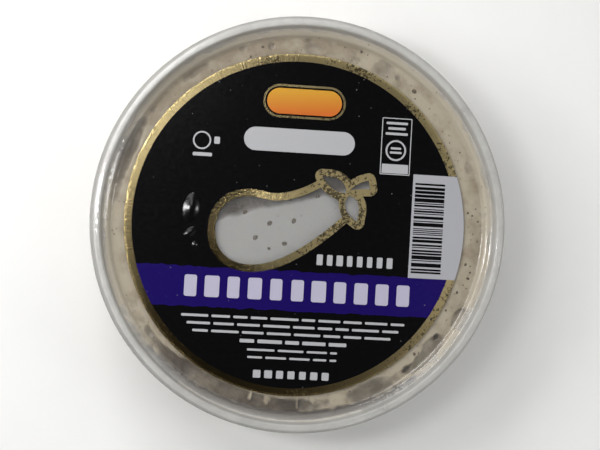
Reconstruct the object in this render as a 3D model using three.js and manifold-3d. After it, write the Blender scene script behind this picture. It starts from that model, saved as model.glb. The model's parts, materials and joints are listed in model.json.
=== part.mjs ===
// A shut, round, clear plastic tub of aubergine dip: tub, dip, press-on lid and a round printed
// label with windows. Millimetres, +Z up. The origin is the middle of the footprint, on the
// surface that the tub stands on. The label's top edge lies towards +Y.

import * as THREE from 'three';
import { mergeVertices } from 'three/addons/utils/BufferGeometryUtils.js';
import Module from 'manifold-3d';

const wasm = await Module();
wasm.setup();

// ---------------------------------------------------------------------------------------------
// Driving dimensions
// ---------------------------------------------------------------------------------------------

// The whole
const LID_DIAMETER = 117;
const HEIGHT = 36;
const FIT_GAP = 0.3; // left between pieces that touch

// The lid: one skin of even thickness, pressed into a panel, a plug, a crown and a skirt
const LID_SKIN = 0.5;
const PANEL_DEPTH = 5.2; // from the crown down to the panel
const PANEL_RADIUS = 52.6;
const LEDGE_RISE = 1.5; // the small ledge round the panel, on which a stacked tub stands
const LEDGE_INNER_RADIUS = 53.3;
const LEDGE_OUTER_RADIUS = 55.1;
const LEDGE_TILT = 0.3; // how far the ledge falls on its way in to the panel
const CROWN_INNER_RADIUS = 55.6;
const CROWN_OUTER_RADIUS = 57.7;
const CROWN_FLAT = 0.6; // width of the crown's level crest
const CROWN_FALL = 0.3; // how far the crown's top then falls towards the outside
const CROWN_CHEEK_DEPTH = 1.8; // where the crown's outer cheek meets the skirt
const SNAP_GROOVE_RADIUS = 57.6; // where the skirt pinches in under the tub's rim
const SNAP_GROOVE_DEPTH = 3.6;
const SKIRT_DEPTH = 5.4;
const SKIRT_LEAN = 0.2;
const SKIRT_LIP = 0.8;

// The tub
const TUB_SKIN = 0.6;
const FOOT_INNER_RADIUS = 42.6;
const FOOT_OUTER_RADIUS = 46.2;
const FOOT_SLOPE = 1; // how far the inner side of the foot ring runs out on its way down
const HEEL_REACH = 1.4; // the rounded corner between foot and wall
const HEEL_RISE = 2.2;
const BASE_RISE = 1.6; // how far the base panel stands clear of the table
const SHOULDER_RADIUS = 55.0; // inside radius of the wall at the foot of the stacking shoulder
const SHOULDER_DEPTH = 6.4; // of the shoulder below the lid's crown
const SHOULDER_RISE = 0.9;
const COLLAR_RADIUS = 56.4; // inside radius of the collar that the lid's plug presses into
const COLLAR_LEAN = 0.5;
const BEAD_RADIUS = 57.1;
const BEAD_HEIGHT = 1.5;
const BEAD_SLOPE = 0.5; // height of the slope under the bead

// The dip
const DIP_GAP = 0.5; // between the dip and the lid above it
const DIP_SQUEEZE_HEIGHT = 31.3; // how far the dip is squeezed up under the lid's ledge
const DIP_SQUEEZE_WAVE = 0.2;
const DIP_SWELL = 0.12; // gentle rise and fall of the surface under the panel
const HOLLOW_DEPTH = 1.5; // of the air above the dip along the upper edge of the label's window
const HOLLOW_FALL = 2.2; // how far the dip takes to fall away into it
const HOLLOW_RISE = 6.2; // of its lower edge above the middle of the label
const HOLLOW_TILT = 0.24; // slope of that edge, up to the right
const HOLLOW_BEND = -0.004;
const HOLLOW_REACH = 38; // radius at which the hollow runs out under the label
const RIM_SEEDS = 24;
const WINDOW_SEEDS = 9;
const SEED_SIZE = 1.1;
const SEED_PROUD = 0.18;

// The label
const LABEL_RADIUS = 48.1;
const LABEL_THICKNESS = 0.25;
const LABEL_GLUE = 0.1;
const LABEL_SHIFT = -1; // the label was put on a little to the left of the middle
const LABEL_TURN = THREE.MathUtils.degToRad(-3.2);

// How finely the round pieces are cut
const SHELL_SIDES = 64;
const DIP_SIDES = 80;
const LABEL_SIDES = 96;
const FILLET_STEPS = 2;
const OUTLINE_STEPS = 7;
const RING_STEP = 5.2; // between the rings of the dip's surface under the label
const FINE_RING_STEP = 1.25; // the same where the surface shows round the label

// ---------------------------------------------------------------------------------------------
// Colours
// ---------------------------------------------------------------------------------------------

const clearPlastic = { color: 0xd4d3ce, roughness: 0.2, metalness: 0, transparent: true, opacity: 0.4 };
const materials = {
  tub: new THREE.MeshStandardMaterial(clearPlastic),
  lid: new THREE.MeshStandardMaterial(clearPlastic),
  dip: new THREE.MeshStandardMaterial({ color: 0xa49a86, roughness: 0.45, metalness: 0 }),
  label: new THREE.MeshStandardMaterial({ color: 0x0e0e10, roughness: 0.25, metalness: 0 }),
};

// ---------------------------------------------------------------------------------------------
// Helpers
// ---------------------------------------------------------------------------------------------

/** Points along [radius, height, fillet] corners, each fillet drawn as a short curve. */
function profile(corners) {
  const at = corners.map(([radius, height]) => new THREE.Vector2(radius, height));
  const path = new THREE.Path();
  path.moveTo(at[0].x, at[0].y);
  for (let i = 1; i < at.length - 1; i++) {
    const fillet = corners[i][2] ?? 0;
    const enter = at[i - 1].clone().sub(at[i]).setLength(fillet).add(at[i]);
    const leave = at[i + 1].clone().sub(at[i]).setLength(fillet).add(at[i]);
    path.lineTo(enter.x, enter.y);
    if (fillet > 0) path.quadraticCurveTo(at[i].x, at[i].y, leave.x, leave.y);
  }
  path.lineTo(at.at(-1).x, at.at(-1).y);
  return path.getPoints(FILLET_STEPS);
}

/** The same line of points moved sideways, to the right of the way that it runs. */
function offset(points, distance) {
  const normals = points.slice(1).map((point, i) => {
    const along = point.clone().sub(points[i]).normalize();
    return new THREE.Vector2(along.y, -along.x);
  });
  return points.map((point, i) => {
    const before = normals[Math.max(i - 1, 0)];
    const after = normals[Math.min(i, normals.length - 1)];
    const mitre = before.clone().add(after).normalize();
    return point.clone().addScaledVector(mitre, distance / mitre.dot(before));
  });
}

/** A closed solid turned round the Z axis from a section that starts and ends on it. */
function revolve(section, sides) {
  return new THREE.LatheGeometry(section, sides).rotateX(Math.PI / 2);
}

/** A closed mesh as a solid that can be joined to others. */
function toSolid(geometry) {
  const bare = geometry.clone();
  bare.deleteAttribute('normal');
  bare.deleteAttribute('uv');
  const merged = mergeVertices(bare, 1e-4);
  const triVerts = dropCollapsed(merged.index.array);
  const vertProperties = Float32Array.from(merged.attributes.position.array);
  return new wasm.Manifold(new wasm.Mesh({ numProp: 3, vertProperties, triVerts }));
}

/** The triangles whose three corners are still different ones after merging. */
function dropCollapsed(index) {
  const kept = [];
  for (let i = 0; i < index.length; i += 3) {
    const [a, b, c] = index.slice(i, i + 3);
    if (a !== b && b !== c && c !== a) kept.push(a, b, c);
  }
  return Uint32Array.from(kept);
}

/** The solid's triangles as a three.js geometry. */
function toGeometry(solid) {
  const { vertProperties, triVerts } = solid.getMesh();
  const geometry = new THREE.BufferGeometry();
  geometry.setAttribute('position', new THREE.BufferAttribute(vertProperties, 3));
  geometry.setIndex(new THREE.BufferAttribute(triVerts, 1));
  geometry.computeVertexNormals();
  return geometry;
}

/** Repeatable random numbers from 0 to 1. */
function seededRandom(seed) {
  let state = seed;
  return () => {
    state = (Math.imul(state, 1664525) + 1013904223) >>> 0;
    return state / 2 ** 32;
  };
}

/** 0 below low, 1 above high, and a smooth rise between. */
const { smoothstep } = THREE.MathUtils;

// ---------------------------------------------------------------------------------------------
// Sections of the shells
// ---------------------------------------------------------------------------------------------

const panelTop = HEIGHT - PANEL_DEPTH;
const lidRadius = LID_DIAMETER / 2;

// The lid's upper surface, from the middle of the panel to the skirt's lower edge
const lidTop = profile([
  [0, panelTop],
  [PANEL_RADIUS, panelTop],
  [LEDGE_INNER_RADIUS, panelTop + LEDGE_RISE - LEDGE_TILT],
  [LEDGE_OUTER_RADIUS, panelTop + LEDGE_RISE],
  [CROWN_INNER_RADIUS, HEIGHT, 0.5],
  [CROWN_INNER_RADIUS + CROWN_FLAT, HEIGHT],
  [CROWN_OUTER_RADIUS, HEIGHT - CROWN_FALL, 0.6],
  [lidRadius - SKIRT_LEAN, HEIGHT - CROWN_CHEEK_DEPTH],
  [SNAP_GROOVE_RADIUS, HEIGHT - SNAP_GROOVE_DEPTH],
  [lidRadius, HEIGHT - SKIRT_DEPTH + SKIRT_LIP],
  [lidRadius, HEIGHT - SKIRT_DEPTH],
]);
const lidUnderside = offset(lidTop, LID_SKIN);

// The tub's inner surface, from the middle of the base to the rim
const rimTop = HEIGHT - CROWN_FALL - LID_SKIN - FIT_GAP;
const shoulder = HEIGHT - SHOULDER_DEPTH;
const tubInner = profile([
  [0, BASE_RISE + TUB_SKIN],
  [FOOT_INNER_RADIUS, BASE_RISE + TUB_SKIN],
  [FOOT_INNER_RADIUS + FOOT_SLOPE, TUB_SKIN],
  [FOOT_OUTER_RADIUS, TUB_SKIN],
  [FOOT_OUTER_RADIUS + HEEL_REACH, TUB_SKIN + HEEL_RISE, HEEL_REACH],
  [SHOULDER_RADIUS, shoulder],
  [COLLAR_RADIUS - COLLAR_LEAN, shoulder + SHOULDER_RISE],
  [COLLAR_RADIUS, rimTop],
]);
const tubOuter = offset(tubInner, TUB_SKIN);

// ---------------------------------------------------------------------------------------------
// Lid and tub
// ---------------------------------------------------------------------------------------------

function lidGeometry() {
  return revolve([...lidUnderside, ...lidTop.toReversed()], SHELL_SIDES);
}

/** The wall ends in a bead that the lid's skirt snaps over. */
function tubGeometry() {
  const wallTop = rimTop - BEAD_HEIGHT - BEAD_SLOPE;
  const wall = tubOuter.filter((point) => point.y < wallTop);
  const collarFoot = shoulder + SHOULDER_RISE;
  const lean = (COLLAR_LEAN * (rimTop - wallTop)) / (rimTop - collarFoot);
  const bead = [
    new THREE.Vector2(COLLAR_RADIUS + TUB_SKIN - lean, wallTop),
    new THREE.Vector2(BEAD_RADIUS, wallTop + BEAD_SLOPE),
    new THREE.Vector2(BEAD_RADIUS, rimTop),
  ];
  return revolve([...wall, ...bead, ...tubInner.toReversed()], SHELL_SIDES);
}

// ---------------------------------------------------------------------------------------------
// Dip
// ---------------------------------------------------------------------------------------------

// Air pockets that show round the label, each [angle in degrees, radius, half its length along
// the rim, half its width, depth]
const AIR_POCKETS = [
  [157.5, 52.2, 13.5, 2.4, 1.2],
  [-113, 51.2, 32, 3, 1.3],
  [-46, 51.5, 7.9, 2.7, 1.4],
  [-30, 52.5, 3.8, 1.8, 1.2],
  [18.5, 51.3, 1.8, 1.15, 0.5],
  [13, 49.6, 2.6, 1.2, 0.4],
  [56, 50.3, 1.3, 0.9, 0.8],
  [87, 51.9, 2.5, 0.9, 0.6],
  [108, 51.9, 1.2, 1, 0.7],
  [124, 51.8, 3.6, 1.2, 0.6],
];

// The highest that the dip may stand: the lid's section, moved down by the gap
const dipRoof = offset(lidUnderside, DIP_GAP);

function roofAt(radius) {
  const after = dipRoof.findIndex((point) => point.x > radius);
  const high = dipRoof[after];
  const low = dipRoof[after - 1];
  return THREE.MathUtils.mapLinear(radius, low.x, high.x, low.y, high.y);
}

/** How deep the dip lies under the window: it sinks away above a slanting line across it. */
function hollowDepth(x, y) {
  const onLabel = new THREE.Vector2(x - LABEL_SHIFT, y).rotateAround(new THREE.Vector2(), -LABEL_TURN);
  const edge = HOLLOW_RISE + HOLLOW_TILT * onLabel.x + HOLLOW_BEND * onLabel.x ** 2;
  const inside = 1 - smoothstep(Math.hypot(x, y), HOLLOW_REACH, FOOT_INNER_RADIUS);
  return HOLLOW_DEPTH * inside * smoothstep(onLabel.y - edge, 0, HOLLOW_FALL);
}

/** How deep the air above the dip is at a point: in a pocket at the rim, or in the hollow. */
function airDepth(x, y) {
  const radius = Math.hypot(x, y);
  let depth = hollowDepth(x, y);
  for (const [degrees, middle, halfLength, halfWidth, deepest] of AIR_POCKETS) {
    const turn = Math.atan2(y, x) - THREE.MathUtils.degToRad(degrees);
    const along = Math.atan2(Math.sin(turn), Math.cos(turn)) * middle;
    const reach = Math.hypot(along / halfLength, (radius - middle) / halfWidth);
    depth = Math.max(depth, deepest * (1 - smoothstep(reach, 0.6, 1.1)));
  }
  return depth;
}

/** The dip's surface: nearly flat under the panel, squeezed up in a ring under the lid's ledge. */
function dipSurface(x, y) {
  const radius = Math.hypot(x, y);
  const angle = Math.atan2(y, x);
  const swell = DIP_SWELL * (Math.sin(x / 5.1 + 1) * Math.cos(y / 6.3) - 1);
  const wave = Math.sin(3 * angle + 0.6) + 0.6 * Math.sin(7 * angle + 2) + 0.4 * Math.sin(13 * angle);
  const squeezed = DIP_SQUEEZE_HEIGHT + DIP_SQUEEZE_WAVE * wave;
  return Math.min(roofAt(radius), squeezed) + swell - airDepth(x, y);
}

/** The body of the dip: the tub's inner form, under a surface cut into rings and raised to it. */
function dipBody() {
  const wall = offset(tubInner, -FIT_GAP).filter((point) => point.y < shoulder + 2);
  const edge = wall.at(-1).x;
  const rings = [];
  for (let radius = RING_STEP; radius < LABEL_RADIUS - RING_STEP; radius += RING_STEP) rings.push(radius);
  for (let radius = LABEL_RADIUS - 1.5; radius < PANEL_RADIUS; radius += FINE_RING_STEP) {
    rings.push(radius);
  }
  const roofCorners = dipRoof.map((point) => point.x);
  rings.push(...roofCorners.filter((radius) => radius > PANEL_RADIUS && radius < edge));
  const top = rings.toReversed().map((radius) => new THREE.Vector2(radius, HEIGHT));
  const section = [...wall, new THREE.Vector2(edge, HEIGHT), ...top, new THREE.Vector2(0, HEIGHT)];
  const geometry = revolve(section, DIP_SIDES);
  const position = geometry.attributes.position;
  for (let i = 0; i < position.count; i++) {
    if (position.getZ(i) < HEIGHT - 1e-3) continue;
    position.setZ(i, dipSurface(position.getX(i), position.getY(i)));
  }
  return toSolid(geometry);
}

/** Where the seeds lie: round the label and in its window, but not over an air pocket. */
function seedPlaces() {
  const random = seededRandom(7);
  const places = [];
  for (let i = 0; i < RIM_SEEDS; i++) {
    const angle = ((i + 0.7 * random()) / RIM_SEEDS) * 2 * Math.PI;
    const radius = LABEL_RADIUS + 0.9 + 1.6 * random();
    places.push([radius * Math.cos(angle), radius * Math.sin(angle)]);
  }
  for (let i = 0; i < WINDOW_SEEDS; i++) {
    const along = i / (WINDOW_SEEDS - 1);
    places.push([-20 + 27 * along, 5.5 * (random() - 0.5) - 2.5 + 7.5 * along]);
  }
  return places.filter(([x, y]) => airDepth(x, y) === 0);
}

function dipGeometry() {
  const random = seededRandom(11);
  let dip = dipBody();
  for (const [x, y] of seedPlaces()) {
    const seed = new THREE.OctahedronGeometry(SEED_SIZE / 2, 1);
    seed.scale(1, 0.75, 0.6);
    seed.rotateZ(Math.PI * random());
    const lift = dipSurface(x, y) + SEED_PROUD - (0.6 * SEED_SIZE) / 2;
    seed.translate(x, y, lift);
    dip = dip.add(toSolid(seed));
  }
  return toGeometry(dip);
}

// ---------------------------------------------------------------------------------------------
// Label
// ---------------------------------------------------------------------------------------------

/** A closed outline of cubic curves, each [control, control, end]; a lone end is a straight side. */
function closedOutline(start, ...sides) {
  const outline = new THREE.Path();
  outline.moveTo(...start);
  for (const side of sides) {
    if (side.length === 3) outline.bezierCurveTo(...side.flat());
    else outline.lineTo(...side[0]);
  }
  return outline;
}

/** The main window: the outline of an aubergine, fat end left, neck up to the right. */
function aubergineOutline() {
  return closedOutline(
    [6.5, 10.95],
    [[2.2, 8.2], [-3.2, 6.1], [-8, 6.6]],
    [[-10.4, 7], [-11.6, 7.4], [-13.8, 7.3]],
    [[-19.8, 7], [-22.7, 2.6], [-22.6, -2.4]],
    [[-22.5, -8.2], [-18.6, -11.9], [-12.2, -11.75]],
    [[-4.4, -11.6], [4.6, -5.2], [13, 2.95]],
    [[12.2, 4.3], [12.1, 6.2], [11.6, 7.6]],
    [[10, 8.5], [8, 9.2], [6.5, 10.95]],
  );
}

/** The leaf that lies along the aubergine's shoulder. */
function upperLeafOutline() {
  return closedOutline(
    [6.8, 14.15],
    [[9.6, 14.2], [13.4, 14.3], [13.9, 9.85]],
    [[11.5, 9.6], [9.2, 10.4], [6.8, 14.15]],
  );
}

/** The leaf that hangs down at the right. */
function lowerLeafOutline() {
  return closedOutline(
    [14.75, 9.2],
    [[12.6, 7.3], [13.2, 4.2], [17.4, 1.7]],
    [[17.2, 3.2], [19.4, 7.8], [14.75, 9.2]],
  );
}

/** The stalk: a point where it leaves the leaves, wide where it was cut. */
function stalkOutline() {
  return closedOutline(
    [14.7, 10.5],
    [[15.9, 11.9], [17.6, 13.1], [20, 13.7]],
    [[20.55, 11.3]],
    [[18.6, 11.2], [16.4, 11], [14.7, 10.5]],
  );
}

function labelGeometry() {
  const disc = new THREE.Shape();
  disc.absarc(0, 0, LABEL_RADIUS, 0, 2 * Math.PI);
  const windows = [aubergineOutline(), upperLeafOutline(), lowerLeafOutline(), stalkOutline()];
  disc.holes.push(...windows.map((outline) => new THREE.Path(outline.getPoints(OUTLINE_STEPS))));
  return new THREE.ExtrudeGeometry(disc, {
    depth: LABEL_THICKNESS,
    bevelEnabled: false,
    curveSegments: LABEL_SIDES,
  });
}

// ---------------------------------------------------------------------------------------------
// The scene
// ---------------------------------------------------------------------------------------------

const group = new THREE.Group();

function place(name, geometry, material) {
  const mesh = new THREE.Mesh(geometry, material);
  mesh.name = name;
  group.add(mesh);
  return mesh;
}

place('tub', tubGeometry(), materials.tub);
place('baba_ganoush', dipGeometry(), materials.dip);
place('lid', lidGeometry(), materials.lid);

const label = place('label', labelGeometry(), materials.label);
label.position.set(LABEL_SHIFT, 0, panelTop + LABEL_GLUE);
label.rotation.z = LABEL_TURN;

export default group;
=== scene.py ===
import json
import math
import random
from functools import partial

import bmesh
import bpy
from bpy.props import FloatProperty, FloatVectorProperty, IntProperty, PointerProperty
from mathutils import Euler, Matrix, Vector, noise

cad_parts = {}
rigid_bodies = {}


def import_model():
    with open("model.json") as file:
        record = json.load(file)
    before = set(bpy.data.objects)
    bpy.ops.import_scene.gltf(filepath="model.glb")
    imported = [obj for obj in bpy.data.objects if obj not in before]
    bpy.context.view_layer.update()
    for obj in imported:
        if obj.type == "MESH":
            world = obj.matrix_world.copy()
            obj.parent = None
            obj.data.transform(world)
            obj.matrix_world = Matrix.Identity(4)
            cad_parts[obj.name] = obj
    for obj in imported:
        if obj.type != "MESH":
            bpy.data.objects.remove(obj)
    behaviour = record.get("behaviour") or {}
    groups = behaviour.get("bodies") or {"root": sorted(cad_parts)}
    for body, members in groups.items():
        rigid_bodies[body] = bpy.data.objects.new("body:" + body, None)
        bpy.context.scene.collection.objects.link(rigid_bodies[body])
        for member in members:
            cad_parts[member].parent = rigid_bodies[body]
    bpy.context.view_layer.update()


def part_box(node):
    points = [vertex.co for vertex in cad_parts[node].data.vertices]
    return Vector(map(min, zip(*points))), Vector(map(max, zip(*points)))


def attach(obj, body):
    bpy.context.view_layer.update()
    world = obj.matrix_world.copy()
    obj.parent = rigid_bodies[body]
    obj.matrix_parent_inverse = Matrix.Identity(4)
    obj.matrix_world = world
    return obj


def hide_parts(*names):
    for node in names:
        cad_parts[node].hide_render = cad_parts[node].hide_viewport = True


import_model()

bl_info = {
    "name": "Dip tub",
    "version": (1, 0, 0),
    "blender": (4, 5, 0),
    "location": "View3D > Sidebar > Dip tub",
    "description": "A shut, clear, round tub of aubergine dip with a printed label on its lid",
    "category": "Object",
}

MM = 0.001
LID_LOW, LID_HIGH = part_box("lid")
LABEL_LOW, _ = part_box("label")

# ---------- Sizes in millimetres, shared with the frame ----------

HEIGHT = LID_HIGH.z / MM
LID_RADIUS = LID_HIGH.x / MM
SKIRT_FOOT = LID_LOW.z / MM
GLUE = 0.1
PANEL_TOP = LABEL_LOW.z / MM - GLUE
PANEL_RADIUS = 52.6
LABEL_RADIUS = 48.1
LABEL_SHIFT = -1.0
LABEL_TURN = math.radians(-3.2)
LABEL_COS, LABEL_SIN = math.cos(LABEL_TURN), math.sin(LABEL_TURN)

LID_SKIN = 0.5
TUB_SKIN = 0.6
FIT_GAP = 0.3
CROWN_FALL = 0.3
RIM_TOP = HEIGHT - CROWN_FALL - LID_SKIN - FIT_GAP
SHOULDER = HEIGHT - 6.4
BASE_TOP = 2.2

# The lid's upper surface from a disc under the label: each corner (radius, height, fillet)
LID_CORNERS = [
    (48.0, PANEL_TOP, 0),
    (PANEL_RADIUS, PANEL_TOP, 0.5),
    (53.3, PANEL_TOP + 1.2, 0.5),
    (55.1, PANEL_TOP + 1.63, 0.5),
    (55.6, HEIGHT, 0.6),
    (57.7, HEIGHT - CROWN_FALL, 0.7),
    (LID_RADIUS - 0.2, HEIGHT - 1.8, 0.6),
    (57.6, HEIGHT - 3.6, 0.6),
    (LID_RADIUS, HEIGHT - 4.6, 0.35),
    (LID_RADIUS, SKIRT_FOOT, 0),
]

# The tub's inner surface from the base panel to the turned-over rim
TUB_CORNERS = [
    (40.0, BASE_TOP, 0),
    (42.6, BASE_TOP, 0.5),
    (43.6, TUB_SKIN, 0.5),
    (46.2, TUB_SKIN, 1.2),
    (47.6, TUB_SKIN + 2.2, 1.4),
    (55.0, SHOULDER, 0.5),
    (55.9, SHOULDER + 0.9, 0.5),
    (56.4, RIM_TOP, 0.2),
    (57.1, RIM_TOP, 0.25),
    (57.1, RIM_TOP - 1.5, 0),
]
FILLET_STEPS = 5

# ---------- Sizes of the print in millimetres, from the middle of the label ----------

INK = 0.02  # height of one layer of ink
FILM_FOOT = PANEL_TOP + 0.01  # a hair clear of the lid
FILM_TOP = PANEL_TOP + 0.28
PANES_TOP = FILM_TOP - 0.05
FOIL_TOP = FILM_TOP + 1.5 * INK
FOIL_INNER_RADIUS = 45.9
FOIL_ROLL = math.radians(2.5)  # how far the edge of the foil ring is pressed down
FOIL_BORDER = 2.1
LEAF_BORDER = 2.05
BORDER_ROLL = math.radians(2)
BORDER_MIDDLE = -9.0
BAND_TOP = -13.0
BAND_FOOT = -24.2
BRUSH_HEIGHT, BRUSH_LENGTH = 0.42, 3.2  # the waves along the band's edges
CODE_LEFT = 32.75
CODE_TOP = 16.2
CODE_FOOT = -13.15
BAR_MODULE = 0.266
BAR_LENGTH = 8.6
PLAQUE_AT = (0.6, 34.6)
SMALL_RING_AT = (-27.6, 22.2)
BOX_AT = (27.3, 23.75)
BOX_RING_AT = (27.3, 22.6)


def length(name, size, words):
    """A length property with this size in millimetres as its default."""
    return FloatProperty(name=name, description=words, default=size * MM, unit="LENGTH", subtype="DISTANCE")


class DipTubSizes(bpy.types.PropertyGroup):
    """Sizes that a user may change."""

    sides: IntProperty(name="Sides", description="Straight sides of the lid and the tub", default=256)
    lid_skin: length("Lid skin", LID_SKIN, "Thickness of the lid")
    tub_skin: length("Tub skin", TUB_SKIN, "Thickness of the tub's wall")


def linear(code):
    """A colour of six hex digits, as linear red, green and blue."""
    shares = [int(code[i : i + 2], 16) / 255 for i in (1, 3, 5)]
    return [s / 12.92 if s <= 0.04045 else ((s + 0.055) / 1.055) ** 2.4 for s in shares]


def colour(name, code, words):
    """A colour property with this hex colour as its default."""
    return FloatVectorProperty(name=name, description=words, default=linear(code), size=3, subtype="COLOR")


class DipTubColours(bpy.types.PropertyGroup):
    """Colours that a user may change."""

    dip: colour("Dip", "#AEA491", "Dip at the rim, where air has reached it")
    dip_fresh: colour("Dip, fresh", "#BAB9B7", "Paler dip under the label")
    dip_smear: colour("Dip, smear", "#8F826E", "Darker smears in the dip")
    # Partly the dip's own look where it doesn't wet the lid, partly painted shade in the air gap above it
    dip_unwetted_and_shaded: colour("Dip, deep", "#4A3D2F", "Dip under an air pocket, where it doesn't wet the lid")
    seed: colour("Seed", "#43372C", "Dark seeds and skin")
    film: colour("Film", "#080809", "Black ground of the label")
    foil: colour("Foil", "#B8A77A", "Gold foil")
    # Painted shade: a darker, browner gold painted on one side of the foil, in place of a dark room mirrored
    # in it
    foil_painted_shade: colour("Foil, dull", "#695A3C", "Foil where its lacquer is dull and brown")
    foil_worn: colour("Foil, worn", "#3B321B", "Specks where the foil has rubbed off")
    band: colour("Band", "#180C53", "Band across the label")
    pale_ink: colour("Pale ink", "#A8A4B6", "Pale ink of the print")
    grey_ink: colour("Grey ink", "#A3A3A5", "Grey ink of the small print")
    amber_ink: colour("Amber ink", "#B85F1C", "Lower ink of the plaque")
    amber_light: colour("Amber ink, light", "#BE8A26", "Upper ink of the plaque")
    panel_ink: colour("Panel ink", "#9C9CA0", "Pale panel under the bars")
    floor: colour("Floor", "#F1F0EE", "Floor")


def colours():
    """The colours as the user has set them."""
    return bpy.context.scene.dip_tub_colours


# ---------- Helpers for shapes ----------


def rounded(corners):
    """Points along (radius, height, fillet) corners, each fillet drawn as a short curve."""
    points = [Vector(corners[0][:2])]
    for before, corner, after in zip(corners, corners[1:], corners[2:]):
        at = Vector(corner[:2])
        enter = at + (Vector(before[:2]) - at).normalized() * corner[2]
        leave = at + (Vector(after[:2]) - at).normalized() * corner[2]
        steps = FILLET_STEPS if corner[2] else 0
        for i in range(steps + 1):
            t = i / steps if steps else 0
            points.append(enter.lerp(at, t).lerp(at.lerp(leave, t), t))
    return points + [Vector(corners[-1][:2])]


def offset(points, distance):
    """The same line of points moved sideways, to the right of the way that it runs."""
    ways = [(b - a).normalized() for a, b in zip(points, points[1:])]
    normals = [Vector((way.y, -way.x)) for way in ways]
    moved = []
    for point, before, after in zip(points, normals[:1] + normals, normals + normals[-1:]):
        mitre = (before + after).normalized()
        moved.append(point + mitre * (distance / mitre.dot(before)))
    return moved


def unit(angle):
    """One step in this direction."""
    return Vector((math.cos(angle), math.sin(angle)))


def deselect():
    bpy.ops.object.select_all(action="DESELECT")


def edit(on=True):
    bpy.ops.object.mode_set(mode="EDIT" if on else "OBJECT")


def face_out():
    """In edit mode, selects all and turns the faces outwards."""
    bpy.ops.mesh.select_all(action="SELECT")
    bpy.ops.mesh.normals_make_consistent(inside=False)


def choose_open_edge():
    """In edit mode, selects only the edges that have a face on one side."""
    bpy.ops.mesh.select_mode(type="EDGE")
    bpy.ops.mesh.select_all(action="DESELECT")
    mesh = bpy.context.object.data
    shape = bmesh.from_edit_mesh(mesh)
    for edge in shape.edges:
        edge.select_set(edge.is_boundary)
    bmesh.update_edit_mesh(mesh)


def empty_piece():
    """A piece at the origin, in edit mode and still empty, for shapes that are set out one by one."""
    deselect()
    bpy.ops.mesh.primitive_plane_add(size=MM)
    edit()
    bpy.ops.mesh.select_all(action="SELECT")
    bpy.ops.mesh.delete(type="VERT")
    return bpy.context.object


def turned_sheet(stations, sides):
    """A round sheet: a disc, whose rim is extruded out to each (radius, height) in millimetres."""
    deselect()
    radius, height = stations[0]
    bpy.ops.mesh.primitive_circle_add(
        vertices=sides, radius=radius * MM, fill_type="TRIFAN", location=(0, 0, height * MM)
    )
    edit()
    choose_open_edge()
    for next_radius, next_height in stations[1:]:
        rise = {"value": (0, 0, (next_height - height) * MM)}
        bpy.ops.mesh.extrude_region_move(TRANSFORM_OT_translate=rise)
        grow = next_radius / radius
        bpy.ops.transform.resize(value=(grow, grow, 1), center_override=(0, 0, 0))
        radius, height = next_radius, next_height
    return bpy.context.object


def thin_shell(corners, skin):
    """A round sheet over these corners, thickened on its lower side."""
    shell = turned_sheet(rounded(corners), bpy.context.scene.dip_tub_sizes.sides)
    edit(False)
    modify(shell, "SOLIDIFY", thickness=skin, offset=-1, use_even_offset=True)
    return shell


def settle():
    """Puts the active object's place, turn and scale into its mesh."""
    deselect()
    bpy.context.object.select_set(True)
    bpy.ops.object.transform_apply(location=True, rotation=True, scale=True)


def modify(piece, kind, **settings):
    """Adds a modifier to the piece, sets it and applies it."""
    modifier = piece.modifiers.new(kind.title(), kind)
    for key, value in settings.items():
        setattr(modifier, key, value)
    bpy.context.view_layer.objects.active = piece
    bpy.ops.object.modifier_apply(modifier=modifier.name)


def finish_piece(piece, name, material, node=None, smooth=35):
    """Names the piece, settles it, gives it its finish, and lets it ride on the tub's body."""
    bpy.context.view_layer.objects.active = piece
    settle()
    piece.name = piece.data.name = name
    piece.data.materials.clear()
    piece.data.materials.append(material)
    bpy.ops.object.shade_smooth_by_angle(angle=math.radians(smooth))
    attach(piece, "root")
    if node:
        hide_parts(node)
    return piece


# ---------- Helpers for materials ----------


def add_node(tree, kind, inputs=(), out=None, **settings):
    """Adds a node, sets or links its inputs, by name or in order, and gives its first output in use."""
    added = tree.nodes.new("ShaderNode" + kind)
    for key, value in settings.items():
        setattr(added, key, value)
    for key, value in inputs.items() if isinstance(inputs, dict) else enumerate(inputs):
        socket = added.inputs[key]
        if isinstance(value, bpy.types.NodeSocket):
            tree.links.new(value, socket)
        else:
            socket.default_value = (*value, 1) if socket.type == "RGBA" else value
    return added.outputs[out] if out else next((one for one in added.outputs if one.enabled), None)


def new_material(name):
    """An empty material, what adds a node to it, and the piece's own coordinates in metres."""
    material = bpy.data.materials.new(name)
    material.use_nodes = True
    material.node_tree.nodes.clear()
    node = partial(add_node, material.node_tree)
    return material, node, node("TexCoord", out="Object")


# ---------- Materials ----------

MILKY = "#F0EFEB"  # the milky share of the clear plastic
MILKY_EDGE = "#B0AEAA"  # the same where it's seen edge on
EDGE_CLEARNESS = "#CAC8C4"  # what light keeps of its colour through an edge
SEED_MOTTLE = "#6A5A48"
DUST_COLOUR = "#8A8A8C"
DUST = 0.6  # how much the dust on the black film shows
FILM_ROUGHNESS = 0.14
INK_ROUGHNESS = 0.35
VARNISH_IOR = 1.49
# A way and distances that keep the foil's painted shade off the foil
NO_PAINTED_SHADE = ((0, 1, 0), -99, -98)


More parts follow.
